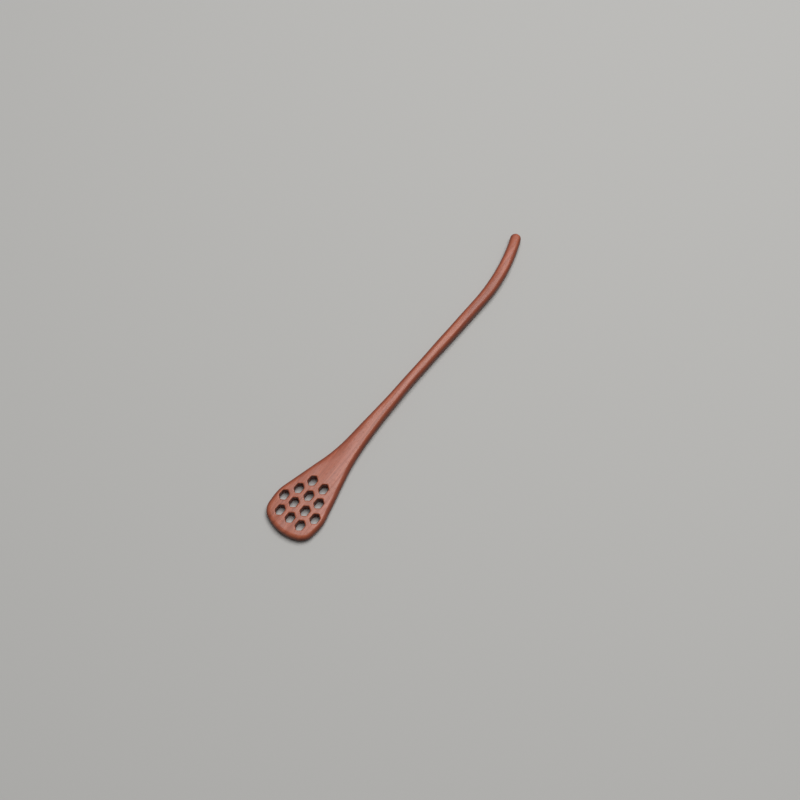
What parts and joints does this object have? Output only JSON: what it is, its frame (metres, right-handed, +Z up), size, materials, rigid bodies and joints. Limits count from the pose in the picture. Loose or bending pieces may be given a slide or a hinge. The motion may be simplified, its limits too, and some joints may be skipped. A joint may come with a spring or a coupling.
{
  "type": "honey dipper",
  "caption": "Carved wooden honey dipper: a flat paddle pierced by a honeycomb of cells, flowing into a slim crowned handle whose rounded end bends gently to the left.",
  "frame": {"origin": "on the surface that the dipper lies on, under the middle of its length and of its paddle's width", "axes": "+X along the paddle's centre line from the tip towards the end of the handle, +Y to the left, +Z up"},
  "size_m": [0.2, 0.028, 0.0061],
  "materials": {
    "varnished_wood": "fine-grained reddish wood, sanded smooth under a thin satin finish"
  },
  "bodies": {
    "root": {"carved_dipper": "varnished_wood"}
  },
  "joints": []
}
